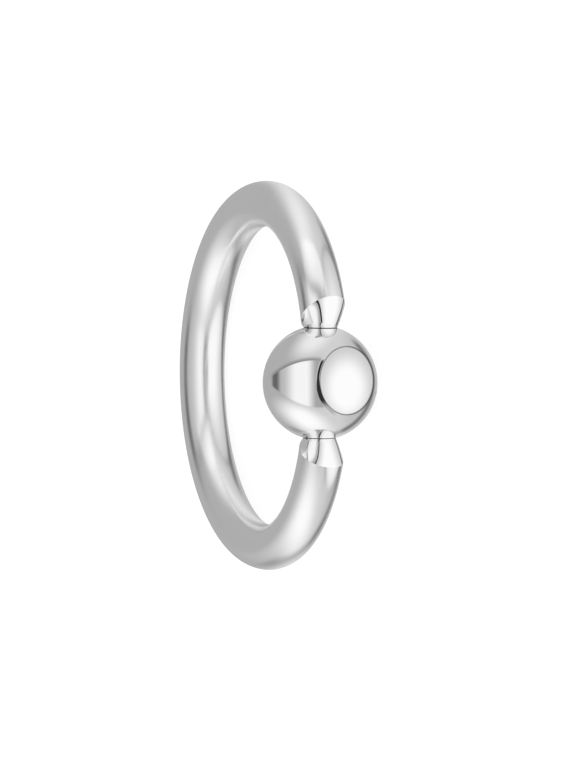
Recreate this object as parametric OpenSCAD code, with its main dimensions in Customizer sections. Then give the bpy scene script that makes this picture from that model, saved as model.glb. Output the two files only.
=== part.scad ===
// Captive bead ring: a round wire ring for a piercing, open at the front, whose two domed tips
// hold a loose bead between them. The ring lies on its side, resting on the underside of the bead
// and on the back of the wire. The origin is on that surface, under the middle of the outline,
// with the bead towards -Y and the bead's turning axis along X.

/* [Wire ring] */
// Diameter of the wire
wire_d = 1.6; // [1.2:0.1:2]
// Diameter of the opening inside the back half of the ring
inner_d = 10.5; // [9:0.5:13]
// How much smaller the radius of the two front quarter bends is than that of the back half
front_tightening = 0.75; // [0.2:0.05:1.2]

/* [Tips] */
// How much smaller the radius of a tip's dome is than that of the wire
tip_step = 0.08; // [0.06:0.01:0.1]
// Slope of the tip's side behind the dome, from the bead's axis
tip_taper_a = 16; // [15:1:18]
// How far the dome reaches into the bead, from the bead's full ball
tip_depth = 0.37; // [0.34:0.01:0.4]

/* [Bead] */
// Diameter of the bead
bead_d = 4; // [3.4:0.1:5]
// Distance of the bead's axis inside the centre line of the wire at the tips
bead_inset = 0.35; // [0.2:0.05:0.4]
// Gap all round between a tip's dome and its seat in the bead
seat_clearance = 0.04; // [0.02:0.01:0.08]

/* [Hidden] */
$fn = 96;

quarter_turn = 90;
half_turn = 180;

wire_r = wire_d / 2;
bend_r = (inner_d + wire_d) / 2;
front_bend_r = bend_r - front_tightening;

// Turn of a front bend from the side of the ring to the middle of the bead
front_turn = quarter_turn + asin(front_tightening / front_bend_r);

bead_r = bead_d / 2;
// Ball of a tip's dome, and its centre along the bead's axis from the centre of the bead
tip_r = wire_r - tip_step;
tip_centre = bead_r - tip_depth + tip_r;
seat_r = tip_r + seat_clearance;

// Distance along the bead's axis from its centre to where a tip enters it
tip_entry = (pow(bead_r, 2) - pow(tip_r, 2) + pow(tip_centre, 2)) / (2 * tip_centre);
// Distance from the middle of the ring to the wire's centre line at that place
wire_reach = sqrt(pow(front_bend_r, 2) - pow(tip_entry - front_tightening, 2));
bead_reach = wire_reach - bead_inset;

// Turn from the dome's slope to that of the tapered side, at the edge where they meet
edge_turn = 5;
// Radius of the tapered side, carried on to the level of the dome's centre
side_r = tip_r * cos(edge_turn) / cos(tip_taper_a);
// Where the wire's centre line crosses the bead's axis, and the side opens into a flare
side_end = front_tightening + sqrt(pow(front_bend_r, 2) - pow(bead_reach, 2));
side_end_r = side_r + (side_end - tip_centre) * tan(tip_taper_a);
// Length and slope of the flare, which keeps the form round a tip clear of the wire
flare = bend_r;
flare_a = 65;

// Tilt of the ring as it lies, with the bead's end raised by the thicker bead
lie_a = asin((bead_r - wire_r) / (bend_r + bead_reach));
lie_height = bead_r - bead_reach * sin(lie_a);
back_edge = bend_r * cos(lie_a) + wire_r;
front_edge = bead_reach * cos(lie_a) + bead_r;
lie_shift = (front_edge - back_edge) / 2;

// Puts what is drawn flat round the middle of the ring where it comes to rest
module lying() {
    translate([0, lie_shift, lie_height])
        rotate([-lie_a, 0, 0])
            children();
}

// Stretch of bent wire round the Z axis, from one angle through a turn
module bent_wire(radius, from_a, turn) {
    rotate_extrude(start = from_a, angle = turn)
        translate([radius, 0])
            circle(r = wire_r);
}

// Right half of a flat shape drawn round the origin, for turning about its upright axis
module right_half(reach) {
    intersection() {
        children();
        translate([0, -reach])
            square([reach, 2 * reach]);
    }
}

// Half section of the form round a tip, with distances from the bead's axis and along it
// from the bead's centre: the dome, the tapered side, and a wide flare clear of the wire
module tip_section() {
    dome_end = tip_centre - tip_r * sin(tip_taper_a);
    flare_end = side_end + flare;
    flare_end_r = side_end_r + flare * tan(flare_a);
    intersection() {
        union() {
            translate([0, tip_centre])
                circle(r = tip_r);
            translate([0, dome_end])
                square([flare_end_r, flare_end]);
        }
        polygon([
            [0, 0],
            [side_r - tip_centre * tan(tip_taper_a), 0],
            [side_end_r, side_end],
            [flare_end_r, flare_end],
            [0, flare_end]
        ]);
    }
}

// Turns what is drawn round the upright axis onto the bead's axis, towards +X
module on_bead_axis() {
    translate([0, -bead_reach, 0])
        rotate([0, quarter_turn, 0])
            children();
}

// Front bend on the +X side, with its end worked to a domed tip
module front_bend() {
    intersection() {
        translate([front_tightening, 0, 0])
            bent_wire(front_bend_r, -front_turn, front_turn);
        on_bead_axis()
            rotate_extrude()
                tip_section();
    }
}

module ring_wire() {
    color("silver")
        lying() {
            bent_wire(bend_r, 0, half_turn);
            for (side_a = [0, half_turn])
                rotate([0, side_a, 0])
                    front_bend();
        }
}

module bead() {
    color("silver")
        lying()
            on_bead_axis()
                rotate_extrude()
                    right_half(bead_d)
                        difference() {
                            circle(r = bead_r);
                            for (side = [-1, 1])
                                translate([0, side * tip_centre])
                                    circle(r = seat_r);
                        }
}

ring_wire();
bead();
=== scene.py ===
"""Captive bead ring: a polished wire ring lying on its side, with a loose bead held between its tips."""

import logging
import math
from dataclasses import astuple, dataclass, field
from enum import Enum
from functools import partial, reduce

import bmesh
import bpy
import numpy as np
from mathutils import Matrix, Vector


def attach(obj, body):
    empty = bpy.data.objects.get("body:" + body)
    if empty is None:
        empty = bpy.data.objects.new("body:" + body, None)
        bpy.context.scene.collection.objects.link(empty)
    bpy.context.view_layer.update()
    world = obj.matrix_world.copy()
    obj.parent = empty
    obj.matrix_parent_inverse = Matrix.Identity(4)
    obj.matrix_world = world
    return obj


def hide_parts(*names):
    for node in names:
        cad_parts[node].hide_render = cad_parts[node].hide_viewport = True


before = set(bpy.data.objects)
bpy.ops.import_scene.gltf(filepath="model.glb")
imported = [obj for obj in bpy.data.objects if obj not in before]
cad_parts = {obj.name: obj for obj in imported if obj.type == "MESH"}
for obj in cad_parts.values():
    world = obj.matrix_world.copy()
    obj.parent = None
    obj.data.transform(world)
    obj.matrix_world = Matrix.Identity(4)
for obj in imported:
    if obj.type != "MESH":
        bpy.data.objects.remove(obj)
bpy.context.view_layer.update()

LOG = logging.getLogger("captive_bead_ring")
# One millimetre, in metres
MM = 0.001
# A shorter length than this counts as nothing
TINY = 1e-4 * MM
# Brightness of the studio's white screens, and of the dark slit and edge beside them
SCREEN_WHITE = 1.06
SCREEN_DARK = 0.03

Socket = bpy.types.NodeSocket
# What a shader input takes: an output, a number, or a colour or vector
Feed = Socket | float | tuple[float, ...]


class Facing(Enum):
    """Which end of the bead's axis a tip stands at."""

    LEFT = -1
    RIGHT = 1


class Finish(Enum):
    """Which of a piece's two materials a face takes."""

    MAIN = 0
    DETAIL = 1


def add_object(name: str, data: bpy.types.ID) -> bpy.types.Object:
    """Makes an object and puts it in the scene.

    Args:
        name: The object's name.
        data: Its mesh, camera or light.

    Returns:
        The new object.
    """
    thing = bpy.data.objects.new(name, data)
    bpy.context.scene.collection.objects.link(thing)
    return thing


def opaque_grey(tone: float) -> tuple[float, float, float, float]:
    """Gives a neutral colour of a brightness."""
    return (tone, tone, tone, 1.0)


@dataclass(frozen=True)
class RingSizes:
    """Sizes of the ring and bead, in metres.

    Attributes:
        wire: Diameter of the wire.
        opening: Width of the opening inside the back half.
        front_tightening: How much smaller the front bends' radius is than the back's.
        tip_step: How much smaller the radius of a tip's dome is than that of the wire.
        tip_depth: How far the dome reaches into the bead, from the bead's full ball.
        bead: Diameter of the bead.
        bead_inset: Distance of the bead's axis inside the wire's centre line.
        seat_clearance: Gap all round between a dome and its seat.
    """

    wire: float = 1.6 * MM
    opening: float = 10.5 * MM
    front_tightening: float = 0.75 * MM
    tip_step: float = 0.08 * MM
    tip_depth: float = 0.37 * MM
    bead: float = 4.0 * MM
    bead_inset: float = 0.35 * MM
    seat_clearance: float = 0.04 * MM

    @property
    def wire_r(self) -> float:
        """Radius of the wire."""
        return self.wire / 2

    @property
    def back_r(self) -> float:
        """Radius of the back half, along the wire's centre line."""
        return (self.opening + self.wire) / 2

    @property
    def front_r(self) -> float:
        """Radius of the two front bends, along the wire's centre line."""
        return self.back_r - self.front_tightening

    @property
    def bead_r(self) -> float:
        """Radius of the bead."""
        return self.bead / 2

    @property
    def tip_r(self) -> float:
        """Radius of the ball that a tip's dome is part of."""
        return self.wire_r - self.tip_step

    @property
    def tip_centre(self) -> float:
        """Distance along the bead's axis from its centre to that of a dome."""
        return self.bead_r - self.tip_depth + self.tip_r

    @property
    def tip_entry(self) -> float:
        """Distance along the bead's axis from its centre to where a tip enters it."""
        return (self.bead_r**2 - self.tip_r**2 + self.tip_centre**2) / (2 * self.tip_centre)

    @property
    def entry_r(self) -> float:
        """Radius of a tip where it enters the bead."""
        return math.sqrt(self.bead_r**2 - self.tip_entry**2)

    @property
    def bead_reach(self) -> float:
        """Distance from the middle of the ring to the bead's centre."""
        rise = self.tip_entry - self.front_tightening
        return math.sqrt(self.front_r**2 - rise**2) - self.bead_inset

    @property
    def seat_r(self) -> float:
        """Radius of the round seat for a dome."""
        return self.tip_r + self.seat_clearance

    @property
    def lie_angle(self) -> float:
        """Tilt of the ring as it lies on the bead and on the back of the wire."""
        return math.asin((self.bead_r - self.wire_r) / (self.back_r + self.bead_reach))


@dataclass(frozen=True)
class LyingFrame:
    """Turns points drawn flat round the ring's middle into the place where it lies.

    Attributes:
        sizes: Sizes of the ring.
    """

    sizes: RingSizes

    def matrix(self) -> Matrix:
        """Gives the transform from the flat ring to the ring as it lies.

        Returns:
            The transform, in metres.
        """
        s = self.sizes
        lie = s.lie_angle
        front = s.bead_reach * math.cos(lie) + s.bead_r
        back = s.back_r * math.cos(lie) + s.wire_r
        height = s.bead_r - s.bead_reach * math.sin(lie)
        return Matrix.Translation((0, (front - back) / 2, height)) @ Matrix.Rotation(-lie, 4, "X")

    def place(self, points: np.ndarray) -> np.ndarray:
        """Moves points of the flat ring, one a row, to where it lies."""
        m = np.array(self.matrix())
        return points @ m[:3, :3].T + m[:3, 3]

    def bead_middle(self) -> Vector:
        """Gives the middle of the bead as the ring lies."""
        return self.matrix() @ Vector((0, -self.sizes.bead_reach, 0))


@dataclass(frozen=True)
class SoftStep:
    """A smooth step from one number to another.

    Attributes:
        begins: Where the step begins.
        ends: Where it ends.
        before: The result at and before its beginning.
        after: The result at and past its end.
    """

    begins: float
    ends: float
    before: float = 0.0
    after: float = 1.0

    def inputs(self) -> dict[str, float]:
        """Gives the four numbers by the names of the inputs that take them."""
        return dict(zip(("From Min", "From Max", "To Min", "To Max"), astuple(self)))


class NodeBoard:
    """Adds shader nodes and joins them, for one material or world."""

    def __init__(self, tree: bpy.types.NodeTree) -> None:
        """Starts on a node tree, which it empties."""
        self.tree = tree
        tree.nodes.clear()

    def add(self, kind: str, inputs: dict[int | str, Feed], **settings: str) -> bpy.types.Node:
        """Adds a node.

        Args:
            kind: Blender's name for the node's type, after "ShaderNode".
            inputs: What its inputs take, by their names or numbers.
            settings: Properties to set on the node.

        Returns:
            The new node.
        """
        node = self.tree.nodes.new("ShaderNode" + kind)
        for name, value in settings.items():
            setattr(node, name, value)
        for name, value in inputs.items():
            if isinstance(value, Socket):
                self.tree.links.new(value, node.inputs[name])
            else:
                node.inputs[name].default_value = value
        return node

    def maths(self, operation: str, *values: Feed) -> Socket:
        """Gives the result of a scalar operation that Blender knows by this name."""
        return self.add("Math", dict(enumerate(values)), operation=operation).outputs[0]

    def vector(self, operation: str, *values: Feed, output: str = "Vector") -> Socket:
        """Gives the vector, or the Value, that a vector operation results in."""
        node = self.add("VectorMath", dict(enumerate(values)), operation=operation)
        return node.outputs[output]

    def grey(self, value: Feed) -> Socket:
        """Gives a neutral grey of a brightness."""
        return self.add("CombineColor", dict.fromkeys(range(3), value)).outputs[0]

    def gap(self, first: Feed, second: Feed) -> Socket:
        """Gives how far two numbers are apart."""
        return self.maths("ABSOLUTE", self.maths("SUBTRACT", first, second))

    def product(self, *values: Feed) -> Socket:
        """Multiplies numbers."""
        return reduce(partial(self.maths, "MULTIPLY"), values)

    def ramp(self, value: Feed, step: SoftStep) -> Socket:
        """Takes a value through a smooth step."""
        node = self.add("MapRange", {"Value": value} | step.inputs(), interpolation_type="SMOOTHSTEP")
        return node.outputs["Result"]

    def blend(self, share: Feed, first: Feed, second: Feed) -> Socket:
        """Mixes two numbers, with the share from 0 to 1 that the second has."""
        return self.add("Mix", {0: share, 2: first, 3: second}, data_type="FLOAT").outputs[0]

    def show(self, shader: Socket, output: str = "OutputMaterial") -> None:
        """Joins the finished shader to the output of the material or world."""
        self.add(output, {"Surface": shader})


def new_material(name: str) -> tuple[bpy.types.Material, NodeBoard]:
    """Makes an empty material.

    Args:
        name: The material's name.

    Returns:
        The material, and the board for its nodes.
    """
    material = bpy.data.materials.new(name)
    material.use_nodes = True
    return material, NodeBoard(material.node_tree)


@dataclass(frozen=True)
class PolishedSteel:
    """Mirror-polished steel with the faint haze and hairlines that polishing leaves.

    Attributes:
        name: Name of the material.
        tone: Brightness of the metal.
        gloss: Roughness where the polish is best.
        haze: Roughness where the polish is dullest.
        haze_size: Size of the hazy patches, in metres.
        hairline: Width of the polishing hairlines, in metres.
        hairline_depth: Depth of the hairlines, in metres.
        hairline_squeeze: How the noise is squeezed along each axis to draw out into hairlines.
        hairline_turn: Turn of the hairlines round each axis, in radians.
        haze_noise: Noise values between which the polish goes from best to dullest.
        tone_noise: Noise values between which the metal goes from darkest to brightest.
        dark_share: Brightness of the darkest patches, as a share of the tone.
        haze_detail: Octaves of finer noise in the patches.
        hairline_detail: Octaves of finer noise in the hairlines.
    """

    name: str
    tone: float = 0.93
    gloss: float = 0.02
    haze: float = 0.06
    haze_size: float = 1.6 * MM
    hairline: float = 0.03 * MM
    hairline_depth: float = 0.00002 * MM
    hairline_squeeze: tuple[float, float, float] = (0.06, 1.0, 1.0)
    hairline_turn: tuple[float, float, float] = (0.3, 0.2, 0.5)
    haze_noise: tuple[float, float] = (0.3, 0.7)
    tone_noise: tuple[float, float] = (0.2, 0.8)
    dark_share: float = 0.985
    haze_detail: float = 4.0
    hairline_detail: float = 3.0

    def make(self) -> bpy.types.Material:
        """Builds the material.

        Returns:
            The finished material.
        """
        material, board = new_material(self.name)
        place = board.add("TexCoord", {}).outputs["Object"]
        squeeze = {"Scale": self.hairline_squeeze, "Rotation": self.hairline_turn, "Vector": place}
        squeezed = board.add("Mapping", squeeze).outputs[0]
        patches = self._noise(board, place, 1 / self.haze_size, self.haze_detail)
        hairs = self._noise(board, squeezed, 1 / self.hairline, self.hairline_detail)
        bump = {"Strength": 1.0, "Distance": self.hairline_depth, "Height": hairs}
        tone = board.ramp(patches, SoftStep(*self.tone_noise, self.tone * self.dark_share, self.tone))
        metal = board.add("BsdfPrincipled", {
            "Metallic": 1.0,
            "Base Color": board.grey(tone),
            "Roughness": board.ramp(patches, SoftStep(*self.haze_noise, self.gloss, self.haze)),
            "Normal": board.add("Bump", bump).outputs[0],
        })
        board.show(metal.outputs[0])
        return material

    def _noise(self, board: NodeBoard, place: Socket, scale: float, detail: float) -> Socket:
        """Gives noise from 0 to 1, with so many features a metre and octaves of finer noise."""
        inputs = {"Vector": place, "Scale": scale, "Detail": detail}
        return board.add("TexNoise", inputs).outputs[0]


@dataclass
class SkinMesh:
    """Collects rows of points into one closed, smooth skin.

    Attributes:
        points: Blocks of points, one point a row.
        faces: Corner numbers of each face.
        finishes: Number of each face's material.
        finish_now: Which material the next faces take.
        count: How many points are in so far.
    """

    points: list[np.ndarray] = field(default_factory=list)
    faces: list[tuple[int, ...]] = field(default_factory=list)
    finishes: list[int] = field(default_factory=list)
    finish_now: Finish = Finish.MAIN
    count: int = 0

    def add_row(self, row: np.ndarray) -> list[int]:
        """Adds a closed loop of points.

        Args:
            row: The loop's points, one a row.

        Returns:
            Their numbers.
        """
        numbers = list(range(self.count, self.count + len(row)))
        self.points.append(row)
        self.count += len(row)
        return numbers

    def join(self, first: list[int], second: list[int]) -> None:
        """Joins two loops of as many points with a band of faces.

        Args:
            first: Numbers of the first loop's points.
            second: Numbers of the second loop's points.
        """
        for i in range(len(first)):
            j = (i + 1) % len(first)
            self.faces.append((first[i], first[j], second[j], second[i]))
            self.finishes.append(self.finish_now.value)

    def cap(self, loop: list[int], point: np.ndarray) -> None:
        """Closes a loop with triangles that meet in one point.

        Args:
            loop: Numbers of the loop's points.
            point: The point where the triangles meet.
        """
        top = self.add_row(point[None, :])[0]
        for i in range(len(loop)):
            self.faces.append((loop[i], loop[(i + 1) % len(loop)], top))
            self.finishes.append(self.finish_now.value)

    def finish(
        self, name: str, lying: LyingFrame, crease: float, steels: tuple[PolishedSteel, PolishedSteel]
    ) -> bpy.types.Object:
        """Makes the object, welded, facing out and smooth between its creases.

        Args:
            name: The object's name.
            lying: Where the flat ring lies.
            crease: Angle between faces above which an edge stays sharp, in radians.
            steels: The main finish and that of the details.

        Returns:
            The new object.
        """
        mesh = bpy.data.meshes.new(name)
        mesh.from_pydata(lying.place(np.vstack(self.points)).tolist(), [], self.faces)
        mesh.polygons.foreach_set("material_index", self.finishes)
        work = bmesh.new()
        work.from_mesh(mesh)
        bmesh.ops.remove_doubles(work, verts=work.verts, dist=TINY)
        bmesh.ops.recalc_face_normals(work, faces=work.faces)
        work.to_mesh(mesh)
        work.free()
        mesh.shade_smooth()
        mesh.set_sharp_from_angle(angle=crease)
        for steel in steels:
            mesh.materials.append(steel.make())
        return add_object(name, mesh)


@dataclass(frozen=True)
class TipArch:
    """The arched edge where the bent wire ends and a worked tip begins.

    Attributes:
        top: Distance of the edge's far end from where the tip enters the bead, in metres.
        curve: Power with which the edge falls from its far end.
        lean: Turn of its far end round the wire from the ring's outside, in radians.
        low: Distance opposite its far end, where a negative one lies inside the bead.
    """

    top: float
    curve: float
    lean: float
    low: float = -0.14 * MM

    def distance(self, round_angle: np.ndarray) -> np.ndarray:
        """Gives how far the edge is from where the tip enters the bead, at angles from the outside."""
        share = (1 + np.cos(round_angle - self.lean)) / 2
        return self.low + (self.top - self.low) * share**self.curve


@dataclass
class WireRing:
    """The bent wire with its two worked tips.

    Attributes:
        sizes: Sizes of the ring.
        wire_finish: Finish of the bent wire.
        tip_finish: Finish of the two tips.
        around: Points round the wire.
        back_rows: Rows of points along the back half.
        front_rows: Rows of points along each front bend.
        front_crowding: Power that spaces those rows, closer near the tip where it is below 1.
        tip_rows: Rows of points along each tip.
        tip_crowding: Power that spaces those rows, closer near the dome's top where it is above 1.
        left_arch: Edge of the left-hand tip.
        right_arch: Edge of the right-hand tip.
        belly_r: Radius of a tip where its swelling side is widest.
        belly_end: Distance from where a tip enters the bead to where it is widest.
        swell: Power with which the side swells out, sooner than evenly where it is above 1.
        shoulder: Power with which the side turns off to meet the wire, later where it is higher.
        flare: Slope of the widest cone that the end of the wire may fill, in radians.
        end_search: Turns of a front bend between which its end is looked for, in radians.
        halvings: How often that span is halved.
        crease: Angle above which an edge stays sharp, in radians.
    """

    sizes: RingSizes
    wire_finish: PolishedSteel
    tip_finish: PolishedSteel
    around: int = 128
    back_rows: int = 180
    front_rows: int = 84
    front_crowding: float = 0.9
    tip_rows: int = 40
    tip_crowding: int = 2
    left_arch: TipArch = TipArch(top=1.0 * MM, curve=0.65, lean=math.radians(-12))
    right_arch: TipArch = TipArch(top=1.14 * MM, curve=0.85, lean=math.radians(-10))
    belly_r: float = 0.844 * MM
    belly_end: float = 1.0 * MM
    swell: float = 1.5
    shoulder: float = 3.5
    flare: float = math.radians(52)
    end_search: tuple[float, float] = (math.radians(45), math.radians(100))
    halvings: int = 50
    crease: float = math.radians(9)

    def dome_radius(self, t: np.ndarray) -> np.ndarray:
        """Gives the radius of a tip's dome at distances along the bead's axis from its centre."""
        s = self.sizes
        return np.sqrt(np.clip(s.tip_r**2 - (s.tip_centre - t) ** 2, 0, None))

    def side_radius(self, t: np.ndarray) -> np.ndarray:
        """Gives the radius of a tip's swelling side.

        Args:
            t: Distances along the bead's axis from its centre.

        Returns:
            The side's radius at each distance.
        """
        s = self.sizes
        share = np.clip((t - s.tip_entry) / self.belly_end, 0, 1)
        return self.belly_r - (self.belly_r - s.entry_r) * (1 - share) ** self.swell

    def widest_radius(self, t: np.ndarray) -> np.ndarray:
        """Gives the radius that the end of the wire may have at most: the dome, then a steep cone.

        Args:
            t: Distances along the bead's axis from its centre.

        Returns:
            The largest radius at each distance.
        """
        s = self.sizes
        cone = s.entry_r + (t - s.tip_entry) * math.tan(self.flare)
        return np.where(t < s.tip_entry, self.dome_radius(t), cone)

    def bend_point(self, turn: np.ndarray, round_angle: np.ndarray) -> np.ndarray:
        """Gives points on the wire's surface along the right-hand front bend.

        Args:
            turn: Angles from the side of the ring towards the bead.
            round_angle: Angles round the wire, from the ring's outside.

        Returns:
            The points of the flat ring, one a row.
        """
        s = self.sizes
        reach = s.front_r + s.wire_r * np.cos(round_angle)
        x = s.front_tightening + reach * np.cos(turn)
        y = -reach * np.sin(turn)
        return np.stack([x, y, s.wire_r * np.sin(round_angle)], axis=1)

    def crease_turns(self, round_angle: np.ndarray, arch: TipArch) -> np.ndarray:
        """Finds where the wire's surface ends and a tip begins.

        Args:
            round_angle: Angles round the wire.
            arch: The tip's arched edge.

        Returns:
            The turn along the front bend at which each line ends.
        """
        s = self.sizes
        low, high = (np.full_like(round_angle, turn) for turn in self.end_search)
        for _ in range(self.halvings):
            middle = (low + high) / 2
            p = self.bend_point(middle, round_angle)
            off_axis = np.hypot(p[:, 1] + s.bead_reach, p[:, 2])
            outside = off_axis > self.widest_radius(p[:, 0])
            high = np.where(outside, middle, high)
            low = np.where(outside, low, middle)
        edge = s.tip_entry + arch.distance(round_angle)
        reach = s.front_r + s.wire_r * np.cos(round_angle)
        return np.minimum(np.arccos((edge - s.front_tightening) / reach), (low + high) / 2)

    def build(self, lying: LyingFrame) -> bpy.types.Object:
        """Builds the ring.

        Args:
            lying: Where the flat ring lies.

        Returns:
            The ring's object.
        """
        s = self.sizes
        skin = SkinMesh()
        angle = np.linspace(0, 2 * math.pi, self.around, endpoint=False)
        rows = []
        ends = []
        for facing, arch in zip(Facing, (self.left_arch, self.right_arch)):
            meets = self.crease_turns(angle, arch)
            ends.append(self.bend_point(meets, angle))
            shares = np.linspace(1, 0, self.front_rows, endpoint=False) ** self.front_crowding
            bend = [self._side(self.bend_point(meets * share, angle), facing) for share in shares]
            rows.append([skin.add_row(row) for row in bend])
        back = []
        for turn in np.linspace(0, math.pi, self.back_rows):
            reach = s.back_r + s.wire_r * np.cos(angle)
            row = [-reach * math.cos(turn), reach * math.sin(turn), s.wire_r * np.sin(angle)]
            back.append(skin.add_row(np.stack(row, axis=1)))
        chain = rows[0] + back + rows[1][::-1]
        for first, second in zip(chain, chain[1:]):
            skin.join(first, second)
        skin.finish_now = Finish.DETAIL
        for facing, loops, edge in zip(Facing, rows, ends):
            self._tip(skin, loops[0], edge, facing)
        return skin.finish("wire_ring", lying, self.crease, (self.wire_finish, self.tip_finish))

    def _side(self, points: np.ndarray, facing: Facing) -> np.ndarray:
        """Puts points of the right-hand side on the side that is asked for."""
        return points * np.array([facing.value, 1, 1])

    def _tip(self, skin: SkinMesh, loop: list[int], edge: np.ndarray, facing: Facing) -> None:
        """Adds a tip, from the edge where the wire ends to the top of its dome.

        Args:
            skin: Where the points go.
            loop: Numbers of the points where the wire meets the tip.
            edge: Those points on the right-hand side.
            facing: The side that the tip is on.
        """
        s = self.sizes
        heading = np.arctan2(edge[:, 2], edge[:, 1] + s.bead_reach)
        dome_top = s.tip_centre - s.tip_r
        step = np.hypot(edge[:, 2], edge[:, 1] + s.bead_reach) - self.side_radius(edge[:, 0])
        span = np.clip(edge[:, 0] - s.tip_entry, TINY, None)
        last = loop
        for i in range(1, self.tip_rows):
            t = dome_top + (edge[:, 0] - dome_top) * (1 - i / self.tip_rows) ** self.tip_crowding
            share = np.clip((t - s.tip_entry) / span, 0, 1)
            side = self.side_radius(t) + step * share**self.shoulder
            r = np.where(t < s.tip_entry, self.dome_radius(t), side)
            points = np.stack([t, r * np.cos(heading) - s.bead_reach, r * np.sin(heading)], axis=1)
            loop = skin.add_row(self._side(points, facing))
            skin.join(last, loop)
            last = loop
        skin.cap(last, np.array([facing.value * dome_top, -s.bead_reach, 0.0]))


@dataclass
class CaptiveBead:
    """The loose bead with a round seat at each end of its axis.

    Attributes:
        sizes: Sizes of the ring.
        ball_finish: Finish of the ball.
        seat_painted_shade: Dark finish of the two seats, which paints the shade in the narrow gap round each
            tip's dome.
        around: Points round the bead's axis.
        ball_rows: Rows of points from seat to seat.
        seat_rows: Rows of points over each seat.
        crease: Angle above which an edge stays sharp, in radians.
    """

    sizes: RingSizes
    ball_finish: PolishedSteel
    seat_painted_shade: PolishedSteel
    around: int = 224
    ball_rows: int = 150
    seat_rows: int = 12
    crease: float = math.radians(25)

    def outline(self) -> list[tuple[float, float]]:
        """Works out the bead's half section from one seat to the other.

        Returns:
            Distance along the axis and radius of each row.
        """
        s = self.sizes
        mouth = (s.bead_r**2 - s.seat_r**2 + s.tip_centre**2) / (2 * s.tip_centre)
        open_ball = math.acos(mouth / s.bead_r)
        open_seat = math.acos((s.tip_centre - mouth) / s.seat_r)
        turns = [open_seat * i / self.seat_rows for i in range(1, self.seat_rows + 1)]
        seat = [(s.tip_centre - s.seat_r * math.cos(a), s.seat_r * math.sin(a)) for a in turns]
        turns = np.linspace(open_ball, math.pi - open_ball, self.ball_rows)[1:-1]
        ball = [(s.bead_r * math.cos(a), s.bead_r * math.sin(a)) for a in turns]
        return seat + ball + [(-t, r) for t, r in reversed(seat)]

    def build(self, lying: LyingFrame) -> bpy.types.Object:
        """Builds the bead.

        Args:
            lying: Where the flat ring lies.

        Returns:
            The bead's object.
        """
        s = self.sizes
        skin = SkinMesh()
        angle = np.linspace(0, 2 * math.pi, self.around, endpoint=False)
        loops = []
        for t, r in self.outline():
            row = [np.full_like(angle, t), r * np.cos(angle) - s.bead_reach, r * np.sin(angle)]
            loops.append(skin.add_row(np.stack(row, axis=1)))
        for i, (first, second) in enumerate(zip(loops, loops[1:])):
            # Faces over the seats take the dark finish that paints the shade round the domes.
            in_seat = min(i, len(loops) - 2 - i) < self.seat_rows - 1
            skin.finish_now = Finish.DETAIL if in_seat else Finish.MAIN
            skin.join(first, second)
        skin.finish_now = Finish.DETAIL
        seat_bottom = s.tip_centre - s.seat_r
        for facing, loop in ((Facing.RIGHT, loops[0]), (Facing.LEFT, loops[-1])):
            skin.cap(loop, np.array([facing.value * seat_bottom, -s.bead_reach, 0.0]))
        return skin.finish("captive_bead", lying, self.crease, (self.ball_finish, self.seat_painted_shade))


@dataclass(frozen=True)
class Sight:
    """The bead's place and the picture's directions.

    Attributes:
        bead: Middle of the bead.
        right: Direction to the right.
        up: Direction to the top of the picture.
        towards: Direction towards the camera.
    """

    bead: Vector
    right: Vector
    up: Vector
    towards: Vector

    def facing(self, place: Vector, spans: tuple[float, float, float] = (1.0, 1.0, 1.0)) -> Matrix:
        """Gives the transform of a thing that faces the camera.

        Args:
            place: Its middle.
            spans: Its width, height and depth.

        Returns:
            The transform, in metres.
        """
        axes = (self.right, self.up, self.towards)
        turn = Matrix([axis * span for axis, span in zip(axes, spans)]).transposed().to_4x4()
        turn.translation = place
        return turn


@dataclass(frozen=True)
class PhotoView:
    """The photograph's view of the ring, as angles to the flat ring and places in the picture.

    Attributes:
        off_plane: Angle of the line of sight off the ring's plane, in radians.
        rise: Angle of the line of sight towards the right-hand side, in radians.
        roll: Small turn of the picture, in radians.
        distance: Distance to the middle of the ring, in metres.
        scale: Pixels a metre at the middle of the ring.
        middle: Pixel of the ring's middle.
        picture: Width and height of the picture, in pixels.
        sensor: Long side of the camera's sensor, in millimetres.
        clip_factor: How many times nearer and further than the ring the camera still sees.
    """

    off_plane: float = 0.3958
    rise: float = 0.0529
    roll: float = 0.0112
    distance: float = 363 * MM
    scale: float = 28405
    middle: tuple[float, float] = (266.9, 375.4)
    picture: tuple[int, int] = (576, 768)
    sensor: float = 36
    clip_factor: float = 10

    def sight(self, lying: LyingFrame) -> Sight:
        """Gives the bead's place and the picture's directions.

        Args:
            lying: Where the flat ring lies.

        Returns:
            The place and the directions.
        """
        flat = Vector((
            math.sin(self.rise),
            -math.cos(self.off_plane) * math.cos(self.rise),
            math.sin(self.off_plane) * math.cos(self.rise),
        ))
        turn = lying.matrix().to_3x3()
        towards = turn @ flat
        right = (turn @ Vector((1, 0, 0))).cross(towards).normalized()
        up = towards.cross(right)
        c, s = math.cos(self.roll), math.sin(self.roll)
        return Sight(lying.bead_middle(), right * c + up * s, up * c - right * s, towards)

    def build(self, lying: LyingFrame) -> bpy.types.Object:
        """Makes the camera.

        Args:
            lying: Where the flat ring lies.

        Returns:
            The camera.
        """
        sight = self.sight(lying)
        across = (self.middle[0] - self.picture[0] / 2) / self.scale
        down = (self.middle[1] - self.picture[1] / 2) / self.scale
        aim = lying.matrix().translation - sight.right * across + sight.up * down
        data = bpy.data.cameras.new("camera")
        data.sensor_width = self.sensor
        data.lens = self.scale * self.distance * self.sensor / max(self.picture)
        data.clip_start = self.distance / self.clip_factor
        data.clip_end = self.distance * self.clip_factor
        camera = add_object("camera", data)
        camera.matrix_world = sight.facing(aim + sight.towards * self.distance)
        bpy.context.scene.camera = camera
        return camera


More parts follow.
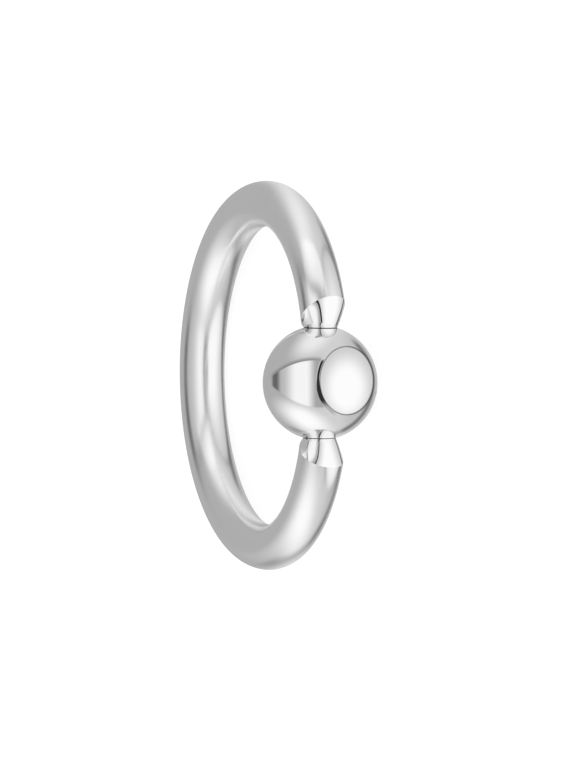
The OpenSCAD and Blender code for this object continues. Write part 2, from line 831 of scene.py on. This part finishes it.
@dataclass(frozen=True)
class SoftShape:
    """A soft-edged oval of light or shade in the studio.

    Places and sizes are shares of the radius of a mirror ball that shows the studio.

    Attributes:
        across: Place of its middle to the right of the ball's middle.
        above: Place of its middle above the ball's middle.
        half_width: Half its width.
        half_height: Half its height.
        lean: Turn of its width above the level, in radians.
    """

    across: float
    above: float
    half_width: float
    half_height: float
    lean: float = 0.0

    def reach(self, board: NodeBoard, plane: Socket) -> Socket:
        """Gives how far out a place is, from 0 at the oval's middle to 1 at its edge.

        Args:
            board: Where the nodes go.
            plane: The place on the mirror ball.

        Returns:
            The distance's socket.
        """
        oval = {
            "Vector": plane,
            "Location": (self.across, self.above, 0.0),
            "Rotation": (0.0, 0.0, self.lean),
            "Scale": (self.half_width, self.half_height, 1.0),
        }
        mapping = board.add("Mapping", oval, vector_type="TEXTURE")
        return board.vector("LENGTH", mapping.outputs[0], output="Value")


@dataclass(frozen=True)
class Bow:
    """A bowed edge of a screen, drawn on the mirror ball.

    Attributes:
        shift: How far to the left of the ball's middle it is highest or lowest.
        bend: How strongly it bends up from there, or down where negative.
        level: Its height there.
    """

    shift: float
    bend: float
    level: float

    def height(self, board: NodeBoard, across: Socket) -> Socket:
        """Gives the height of the edge at a place across the ball."""
        off = board.maths("ADD", across, self.shift)
        return board.maths("MULTIPLY_ADD", board.product(off, off), self.bend, self.level)


@dataclass(frozen=True)
class BallSpot:
    """A place on the mirror ball, as sockets.

    Attributes:
        plane: The place as a vector.
        across: Its distance to the right of the ball's middle.
        above: Its distance above the ball's middle.
        reach: How far out it is from the rounded screen's middle, with the screen's outline at 1.
    """

    plane: Socket
    across: Socket
    above: Socket
    reach: Socket


@dataclass(frozen=True)
class PlainSurround:
    """The tent's plain cloth, with two soft lights and a dark streak along the ball's right rim.

    Attributes:
        cloth: How the cloth brightens from left to right.
        right_turn: Where it changes to its brightness on the far right.
        right_tone: That brightness.
        high_glow: Soft light high on the left.
        high_fade: How that light falls off from its middle.
        high_share: Its brightness, as a share of the screens' white.
        low_glow: Soft light low on the left, as bright as the screens.
        low_fade: How that light falls off from its middle.
        rim: The circle that the streak runs along.
        rim_slant: How the streak's start moves across with height above the middle.
        rim_start: Where across the ball the streak starts.
        rim_foot: How much of the streak shows at the foot of the ball.
        rim_fade: How the streak fades from its middle.
        rim_tone: Brightness of the streak.
    """

    cloth: SoftStep = SoftStep(-0.5, 0.15, 0.45, 0.68)
    right_turn: SoftStep = SoftStep(0.3, 0.6)
    right_tone: float = 0.56
    high_glow: SoftShape = SoftShape(-0.12, 0.72, 0.52, 0.24, math.radians(38))
    high_fade: SoftStep = SoftStep(0.1, 1.2, 0.9, 0.0)
    high_share: float = 0.88
    low_glow: SoftShape = SoftShape(-0.26, -0.63, 0.6, 0.235, math.radians(-30))
    low_fade: SoftStep = SoftStep(0.2, 1.25, 1.0, 0.0)
    rim: SoftShape = SoftShape(0, 0, 0.92, 0.92)
    rim_slant: float = -0.35
    rim_start: SoftStep = SoftStep(0.22, 0.45)
    rim_foot: SoftStep = SoftStep(-0.7, -0.85, 0.0, 0.6)
    rim_fade: SoftStep = SoftStep(0.0, 0.065, 1.0, 0.0)
    rim_tone: float = 0.2

    def paint(self, board: NodeBoard, spot: BallSpot) -> Socket:
        """Paints the surround.

        Args:
            board: Where the nodes go.
            spot: The place on the ball.

        Returns:
            The light at that place.
        """
        light = board.ramp(spot.across, self.cloth)
        light = board.blend(board.ramp(spot.across, self.right_turn), light, self.right_tone)
        high = board.ramp(self.high_glow.reach(board, spot.plane), self.high_fade)
        light = board.blend(high, light, SCREEN_WHITE * self.high_share)
        low = board.ramp(self.low_glow.reach(board, spot.plane), self.low_fade)
        light = board.blend(low, light, SCREEN_WHITE)
        off = board.gap(self.rim.reach(board, spot.plane), 1.0)
        raised = board.maths("MAXIMUM", spot.above, 0.0)
        slanted = board.maths("MULTIPLY_ADD", raised, self.rim_slant, spot.across)
        foot = board.ramp(spot.above, self.rim_foot)
        where = board.maths("MAXIMUM", board.ramp(slanted, self.rim_start), foot)
        streak = board.product(board.ramp(off, self.rim_fade), where)
        return board.blend(streak, light, self.rim_tone)


@dataclass(frozen=True)
class LongScreen:
    """The long flat screen on the left, which narrows towards its dark far end.

    Attributes:
        top: Upper edge.
        bottom: Lower edge.
        top_blur: How the screen sets in below its upper edge.
        bottom_blur: How it sets in above its lower edge.
        far_blur: How it sets in at its far end.
        near_reach: How far off the rounded screen it sets in.
        near_across: Where across the ball it shows in any case.
        far_tone: Brightness near its far end.
        bright_turn: Where it changes to its full brightness.
        bright_share: Full brightness, as a share of the screens' white.
        dim_turn: Where it dims again towards the ball's middle.
        dim_share: Brightness there, as a share of the screens' white.
        line_drop: Distance of the dark line below the upper edge, or above it where negative.
        line_fade: How much of the line shows, from its middle to its sides.
        line_start: Where across the ball the line sets in.
        line_tone: Brightness of the line.
    """

    top: Bow = Bow(0.10, -0.497, 0.385)
    bottom: Bow = Bow(0.0, 0.54, -0.43)
    top_blur: SoftStep = SoftStep(-0.008, 0.008)
    bottom_blur: SoftStep = SoftStep(-0.02, 0.02)
    far_blur: SoftStep = SoftStep(-0.86, -0.8)
    near_reach: SoftStep = SoftStep(1.13, 1.17)
    near_across: SoftStep = SoftStep(-0.05, -0.12)
    far_tone: SoftStep = SoftStep(-0.76, -0.66, 0.14, 0.52)
    bright_turn: SoftStep = SoftStep(-0.66, -0.4)
    bright_share: float = 0.93
    dim_turn: SoftStep = SoftStep(-0.24, -0.05)
    dim_share: float = 0.38
    line_drop: float = -0.015
    line_fade: SoftStep = SoftStep(0.0, 0.065, 0.6, 0.0)
    line_start: SoftStep = SoftStep(-0.9, -0.75)
    line_tone: float = 0.15

    def paint(self, board: NodeBoard, spot: BallSpot, light: Socket) -> Socket:
        """Paints the screen.

        Args:
            board: Where the nodes go.
            spot: The place on the ball.
            light: The light behind the screen.

        Returns:
            The light at that place.
        """
        below_top = board.maths("SUBTRACT", self.top.height(board, spot.across), spot.above)
        above_bottom = board.maths("SUBTRACT", spot.above, self.bottom.height(board, spot.across))
        near = board.ramp(spot.reach, self.near_reach)
        near = board.maths("MAXIMUM", near, board.ramp(spot.across, self.near_across))
        inside = board.product(
            board.ramp(below_top, self.top_blur),
            board.ramp(above_bottom, self.bottom_blur),
            board.ramp(spot.across, self.far_blur),
            near,
        )
        tone = board.ramp(spot.across, self.far_tone)
        tone = board.blend(board.ramp(spot.across, self.bright_turn), tone, SCREEN_WHITE * self.bright_share)
        tone = board.blend(board.ramp(spot.across, self.dim_turn), tone, SCREEN_WHITE * self.dim_share)
        line = board.ramp(board.gap(below_top, self.line_drop), self.line_fade)
        shade = board.product(line, board.ramp(spot.across, self.line_start), near)
        return board.blend(inside, board.blend(shade, light, self.line_tone), tone)


@dataclass(frozen=True)
class RoundScreen:
    """The big rounded screen on the right, with its thin dark edge.

    Attributes:
        shape: Outline of the screen.
        glow: Spread of its light.
        glow_fade: How its light falls off over that spread.
        blur: How the screen sets in at its outline.
        edge_reach: Where the dark edge runs, with the outline at 1.
        edge_width: Width of the dark edge, from left to right.
        edge_fade: How much of the dark edge shows, from its middle to its sides.
    """

    shape: SoftShape = SoftShape(0.463, 0.035, 0.462, 0.585)
    glow: SoftShape = SoftShape(0.46, -0.09, 0.46, 0.66)
    glow_fade: SoftStep = SoftStep(0.4, 1.1, SCREEN_WHITE, SCREEN_WHITE * 0.62)
    blur: SoftStep = SoftStep(1.01, 0.99)
    edge_reach: float = 1.01
    edge_width: SoftStep = SoftStep(0.4, 0.9, 0.03, 0.06)
    edge_fade: SoftStep = SoftStep(0.0, 1.0, 0.8, 0.0)

    def paint(self, board: NodeBoard, spot: BallSpot, light: Socket) -> Socket:
        """Paints the screen.

        Args:
            board: Where the nodes go.
            spot: The place on the ball.
            light: The light behind the screen.

        Returns:
            The light at that place.
        """
        tone = board.ramp(self.glow.reach(board, spot.plane), self.glow_fade)
        light = board.blend(board.ramp(spot.reach, self.blur), light, tone)
        off = board.gap(spot.reach, self.edge_reach)
        wide = board.ramp(spot.across, self.edge_width)
        edge = board.ramp(board.maths("DIVIDE", off, wide), self.edge_fade)
        return board.blend(edge, light, SCREEN_DARK)


@dataclass(frozen=True)
class DarkSlit:
    """The dark slit along the rounded screen's left edge, widest a little below the middle.

    Attributes:
        reach: Where the slit runs, with the rounded screen's outline at 1.
        widest_at: Height at which it is widest.
        half_width: Half its width, from its widest place on.
        right_end: How it ends on the right.
        top_end: How it ends at the top.
        bottom_end: How it thins out at the bottom.
    """

    reach: float = 1.08
    widest_at: float = -0.2
    half_width: SoftStep = SoftStep(0.05, 0.3, 0.075, 0.042)
    right_end: SoftStep = SoftStep(0.3, 0.2)
    top_end: SoftStep = SoftStep(0.36, 0.42, 1.0, 0.0)
    bottom_end: SoftStep = SoftStep(-0.45, -0.3, 0.3, 1.0)

    def paint(self, board: NodeBoard, spot: BallSpot, light: Socket) -> Socket:
        """Paints the slit.

        Args:
            board: Where the nodes go.
            spot: The place on the ball.
            light: The light behind the slit.

        Returns:
            The light at that place.
        """
        off = board.gap(spot.reach, self.reach)
        wide = board.ramp(board.gap(spot.above, self.widest_at), self.half_width)
        ends = board.product(
            board.ramp(spot.across, self.right_end),
            board.ramp(spot.above, self.top_end),
            board.ramp(spot.above, self.bottom_end),
        )
        return board.blend(board.product(board.maths("LESS_THAN", off, wide), ends), light, SCREEN_DARK)


@dataclass(frozen=True)
class LightTent:
    """The small pale tent that the metal mirrors: two white screens with a dark slit between them.

    The screens are laid out on the face of a mirror ball that stands in the bead's place and is
    seen along the line of sight.

    Attributes:
        front: Distance of the tent's front wall before the bead, in metres.
        back: Distance of its back wall behind the bead.
        left: Distance of its left wall from the bead.
        right: Distance of its right wall from the bead.
        height: Distance of its roof above the bead, and of its base below it.
        ball_r: Radius of the mirror ball, in metres.
        mirror_rounds: How often the mirroring place on the ball is worked out more closely.
        surround: The tent's plain cloth.
        long_screen: The flat screen on the left.
        round_screen: The rounded screen on the right.
        slit: The slit between them.
    """

    front: float = 9 * MM
    back: float = 60 * MM
    left: float = 80 * MM
    right: float = 40 * MM
    height: float = 40 * MM
    ball_r: float = 2 * MM
    mirror_rounds: int = 3
    surround: PlainSurround = PlainSurround()
    long_screen: LongScreen = LongScreen()
    round_screen: RoundScreen = RoundScreen()
    slit: DarkSlit = DarkSlit()

    def build(self, sight: Sight) -> bpy.types.Object:
        """Makes the tent, which shows in the metal alone.

        Args:
            sight: The bead's place and the picture's directions.

        Returns:
            The tent.
        """
        mesh = bpy.data.meshes.new("light_tent")
        work = bmesh.new()
        spans = (self.left + self.right, 2 * self.height, self.front + self.back)
        aside = sight.right * (self.right - self.left) / 2
        before = sight.towards * (self.front - self.back) / 2
        bmesh.ops.create_cube(work, size=1.0, matrix=sight.facing(sight.bead + aside + before, spans))
        work.to_mesh(mesh)
        work.free()
        tent = add_object("light_tent", mesh)
        mesh.materials.append(self._cloth(sight))
        for ray in ("camera", "diffuse", "shadow", "transmission"):
            setattr(tent, f"visible_{ray}", False)
        return tent

    def _cloth(self, sight: Sight) -> bpy.types.Material:
        """Makes the tent's glowing cloth.

        Args:
            sight: The bead's place and the picture's directions.

        Returns:
            The material.
        """
        material, board = new_material("tent_cloth")
        place = board.add("TexCoord", {}).outputs["Object"]
        facing = self._mirror_point(board, place, sight)
        across = board.vector("DOT_PRODUCT", facing, tuple(sight.right), output="Value")
        above = board.vector("DOT_PRODUCT", facing, tuple(sight.up), output="Value")
        plane = board.add("CombineXYZ", {0: across, 1: above}).outputs[0]
        spot = BallSpot(plane, across, above, self.round_screen.shape.reach(board, plane))
        light = self.surround.paint(board, spot)
        for part in (self.long_screen, self.round_screen, self.slit):
            light = part.paint(board, spot, light)
        board.show(board.add("Emission", {"Color": board.grey(light)}).outputs[0])
        return material

    def _mirror_point(self, board: NodeBoard, place: Socket, sight: Sight) -> Socket:
        """Finds the direction that the bead's surface faces where it mirrors a place in the tent.

        Args:
            board: Where the nodes go.
            place: The place in the tent.
            sight: The bead's place and the picture's directions.

        Returns:
            The direction's socket.
        """
        from_middle = board.vector("SUBTRACT", place, tuple(sight.bead))
        from_surface = from_middle
        for _ in range(self.mirror_rounds):
            look = board.vector("NORMALIZE", from_surface)
            facing = board.vector("NORMALIZE", board.vector("ADD", look, tuple(sight.towards)))
            surface = board.vector("MULTIPLY", facing, (self.ball_r, self.ball_r, self.ball_r))
            from_surface = board.vector("SUBTRACT", from_middle, surface)
        return facing


@dataclass(frozen=True)
class FillLight:
    """A soft light on the tent's front wall, above the bead, that shows in the wire alone.

    Attributes:
        left: Distance of its left edge to the left of the bead, in metres.
        right: Distance of its right edge to the right of the bead.
        low: Distance of its lower edge above the bead.
        high: Distance of its upper edge above the bead.
        depth: Distance before the bead, just inside the tent's front wall.
        glow: Brightness that it adds.
    """

    left: float = 30 * MM
    right: float = 6 * MM
    low: float = 11 * MM
    high: float = 38 * MM
    depth: float = 8.9 * MM
    glow: float = 0.25

    def build(self, sight: Sight, wire: bpy.types.Object) -> bpy.types.Object:
        """Makes the light.

        Args:
            sight: The bead's place and the picture's directions.
            wire: The only piece that it shines on.

        Returns:
            The light.
        """
        lamp = bpy.data.lights.new("fill_light", "AREA")
        lamp.shape = "RECTANGLE"
        lamp.size = self.left + self.right
        lamp.size_y = self.high - self.low
        lamp.energy = self.glow * math.pi * lamp.size * lamp.size_y
        light = add_object("fill_light", lamp)
        aside = sight.right * (self.right - self.left) / 2 + sight.up * (self.high + self.low) / 2
        light.matrix_world = sight.facing(sight.bead + aside + sight.towards * self.depth)
        receivers = bpy.data.collections.new("wire_alone")
        receivers.objects.link(wire)
        light.light_linking.receiver_collection = receivers
        return light


@dataclass(frozen=True)
class PaleFloor:
    """The plain pale surface that the ring lies on.

    Attributes:
        room: Brightness of the room.
        width: Width of the surface, in metres.
        glow: Brightness that it has by itself.
        tone: Share of the light on it that it gives back.
        roughness: Roughness of the surface.
    """

    room: float = 1.0
    width: float = 4.0
    glow: float = 0.83
    tone: float = 0.28
    roughness: float = 0.9

    def build(self) -> bpy.types.Object:
        """Makes the floor, and the even light of the room on it.

        Returns:
            The floor.
        """
        world = bpy.data.worlds.new("room")
        world.use_nodes = True
        board = NodeBoard(world.node_tree)
        light = board.add("Background", {"Color": opaque_grey(self.room)})
        board.show(light.outputs[0], "OutputWorld")
        bpy.context.scene.world = world
        half = self.width / 2
        mesh = bpy.data.meshes.new("floor")
        corners = [(-half, -half, 0), (half, -half, 0), (half, half, 0), (-half, half, 0)]
        mesh.from_pydata(corners, [], [(0, 1, 2, 3)])
        floor = add_object("floor", mesh)
        mesh.materials.append(self._paper())
        floor.visible_glossy = False
        return floor

    def _paper(self) -> bpy.types.Material:
        """Makes the floor's matt white.

        Returns:
            The material.
        """
        material, board = new_material("pale_paper")
        paper = board.add("BsdfPrincipled", {
            "Base Color": opaque_grey(self.tone),
            "Roughness": self.roughness,
            "Specular IOR Level": 0.0,
            "Emission Color": opaque_grey(1.0),
            "Emission Strength": self.glow,
        })
        board.show(paper.outputs[0])
        return material


def report(piece: bpy.types.Object, body: str, node: str) -> None:
    """Ties a piece to the frame and reports it.

    Args:
        piece: The piece.
        body: The body that it rides on.
        node: The node that it stands for.
    """
    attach(piece, body)
    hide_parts(node)
    LOG.info("%s: %d faces, rides on %s", piece.name, len(piece.data.polygons), body)


def main() -> None:
    """Builds the ring, the bead and the studio round them."""
    logging.basicConfig(level=logging.INFO, format="%(message)s")
    sizes = RingSizes()
    lying = LyingFrame(sizes)
    view = PhotoView()
    view.build(lying)
    sight = view.sight(lying)
    LightTent().build(sight)
    PaleFloor().build()
    wire_steel = PolishedSteel("wire_steel", gloss=0.18, haze=0.25)
    # The seats' steel is darkened to paint the shade in the gap between each dome and its seat.
    seat_steel = PolishedSteel("seat_steel", tone=0.2, gloss=0.35, haze=0.5)
    ring = WireRing(sizes, wire_steel, PolishedSteel("tip_steel")).build(lying)
    report(ring, "ring", "ring_wire")
    FillLight().build(sight, ring)
    bead = CaptiveBead(sizes, PolishedSteel("bead_steel"), seat_steel).build(lying)
    report(bead, "bead", "bead")
    bpy.context.scene.view_settings.view_transform = "Standard"


if __name__ == "__main__":
    main()
